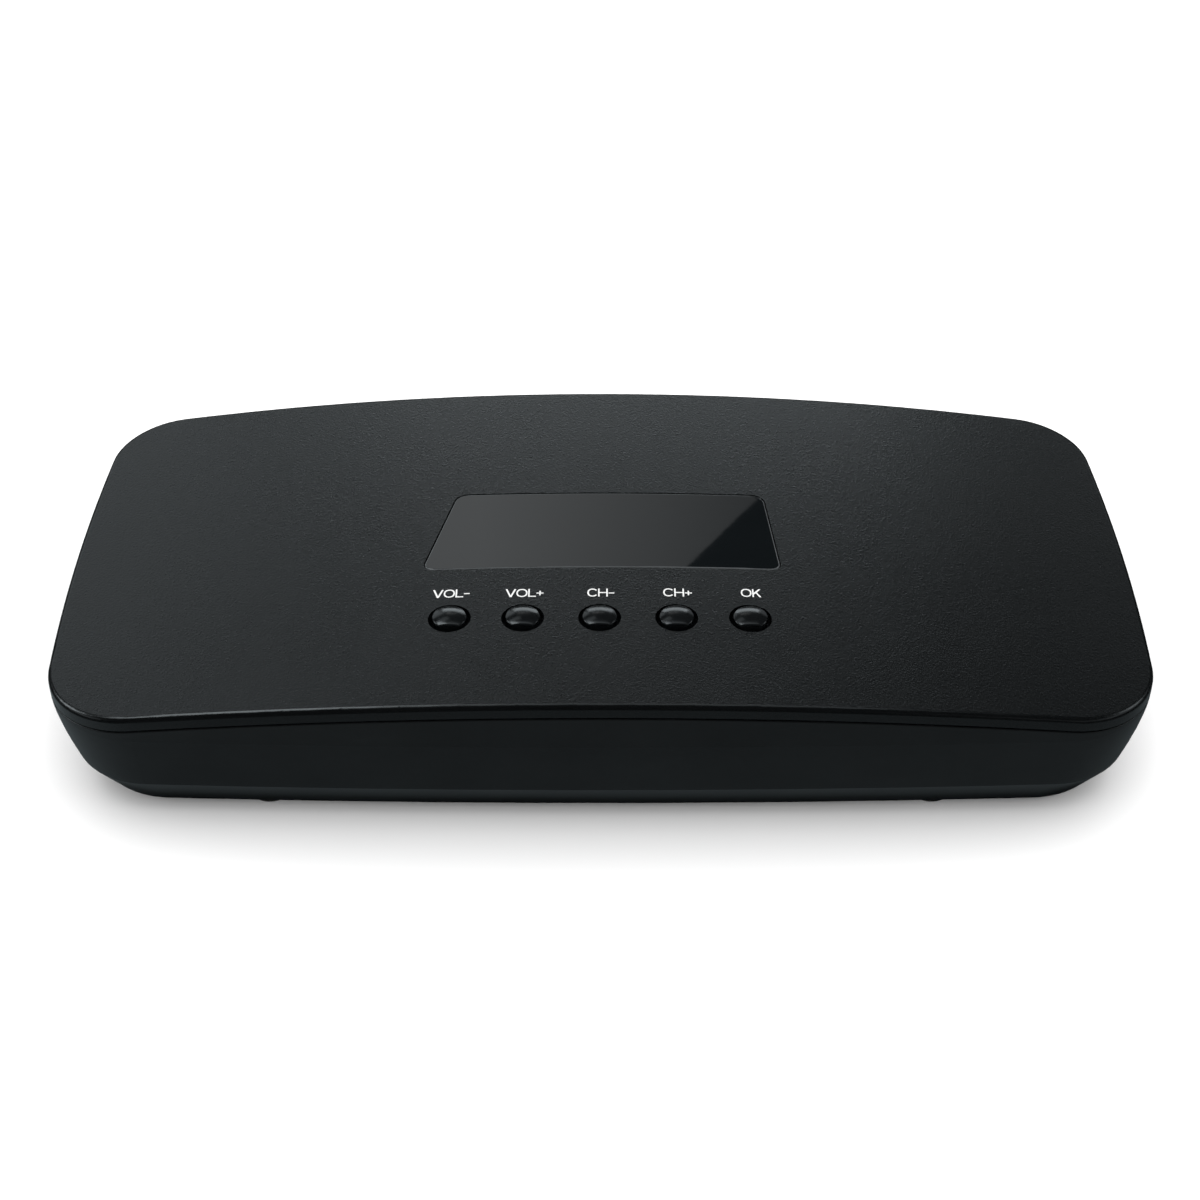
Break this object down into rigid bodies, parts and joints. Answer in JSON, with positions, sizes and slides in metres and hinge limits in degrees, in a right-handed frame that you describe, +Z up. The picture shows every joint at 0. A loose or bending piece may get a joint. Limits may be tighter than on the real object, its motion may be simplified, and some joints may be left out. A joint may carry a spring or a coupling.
{
  "type": "satellite tv receiver",
  "caption": "Set-top satellite receiver with a crowned cover, dark display window, domed push-buttons, rear sockets and a power rocker.",
  "frame": {"origin": "centre of the footprint, on the surface under the feet", "axes": "+X to the right seen from the front, +Y to the back, +Z up"},
  "size_m": [0.22, 0.1105, 0.0351],
  "materials": {
    "cover_plastic": "fine leather-like grain on top, smooth satin rim",
    "case_plastic": "smooth satin moulded ABS",
    "window_lens": "smoked polished acrylic, nearly black",
    "button_plastic": "polished black plastic",
    "foot_rubber": "matt black rubber",
    "panel_steel": "black powder-coated sheet steel",
    "nickel": "nickel plating",
    "tin_plate": "tin-plated sheet steel",
    "screw_steel": "black zinc-plated steel",
    "board": "green solder mask on glass-fibre board",
    "socket_black": "moulded black nylon",
    "insulator": "white insulating plastic",
    "core_yellow": "yellow moulded plastic",
    "core_white": "white moulded plastic",
    "core_red": "red moulded plastic",
    "chip": "black moulding compound",
    "aluminium": "bare extruded aluminium",
    "ribbon": "white flat flexible cable",
    "adhesive": "black foam tape",
    "led": "red tinted epoxy",
    "white_print": "white silk-screen ink"
  },
  "bodies": {
    "root": {"top_cover": "cover_plastic", "bottom_case": "case_plastic", "rear_panel": "panel_steel", "display_window": "window_lens", "window_adhesive": "adhesive", "control_board": "board", "control_board_screws": "screw_steel", "switch_housings": "socket_black", "display_module": "socket_black", "display_segments": "white_print", "ir_receiver": "chip", "status_led": "led", "ribbon_cable": "ribbon", "ribbon_connectors": "insulator", "main_board": "board", "board_screws": "screw_steel", "case_screws": "screw_steel", "rubber_feet": "foot_rubber", "main_processor": "chip", "heatsink": "aluminium", "memory_chips": "chip", "capacitors": "aluminium", "inductors": "chip", "tuner_can": "tin_plate", "f_connector_lnb_in": "nickel", "f_connector_loop_out": "nickel", "f_connector_insulators": "insulator", "f_connector_nuts": "nickel", "usb_shell": "tin_plate", "usb_tongue": "insulator", "hdmi_shell": "tin_plate", "hdmi_tongue": "socket_black", "av_socket_block": "socket_black", "av_socket_shells": "nickel", "av_socket_video": "core_yellow", "av_socket_audio_left": "core_white", "av_socket_audio_right": "core_red", "dc_socket": "socket_black", "dc_socket_pin": "nickel", "power_switch_housing": "socket_black"},
    "button_vol_down_body": {"button_vol_down": "button_plastic", "plunger_vol_down": "socket_black"},
    "button_vol_up_body": {"button_vol_up": "button_plastic", "plunger_vol_up": "socket_black"},
    "button_ch_down_body": {"button_ch_down": "button_plastic", "plunger_ch_down": "socket_black"},
    "button_ch_up_body": {"button_ch_up": "button_plastic", "plunger_ch_up": "socket_black"},
    "button_ok_body": {"button_ok": "button_plastic", "plunger_ok": "socket_black"},
    "power_rocker_body": {"power_rocker": "button_plastic"}
  },
  "joints": [
    {"name": "vol_down_press", "type": "slide", "parent": "root", "child": "button_vol_down_body", "axis": [0, 0, -1], "range_m": [0, 0.0005], "stiffness_N_per_m": 400, "springref_m": -0.001},
    {"name": "vol_up_press", "type": "slide", "parent": "root", "child": "button_vol_up_body", "axis": [0, 0, -1], "range_m": [0, 0.0005], "stiffness_N_per_m": 400, "springref_m": -0.001},
    {"name": "ch_down_press", "type": "slide", "parent": "root", "child": "button_ch_down_body", "axis": [0, 0, -1], "range_m": [0, 0.0005], "stiffness_N_per_m": 400, "springref_m": -0.001},
    {"name": "ch_up_press", "type": "slide", "parent": "root", "child": "button_ch_up_body", "axis": [0, 0, -1], "range_m": [0, 0.0005], "stiffness_N_per_m": 400, "springref_m": -0.001},
    {"name": "ok_press", "type": "slide", "parent": "root", "child": "button_ok_body", "axis": [0, 0, -1], "range_m": [0, 0.0005], "stiffness_N_per_m": 400, "springref_m": -0.001},
    {"name": "power_rock", "type": "hinge", "parent": "root", "child": "power_rocker_body", "pos_m": [-0.068, 0.04105, 0.0182], "axis": [-1, 0, 0], "range_deg": [0, 16]}
  ]
}
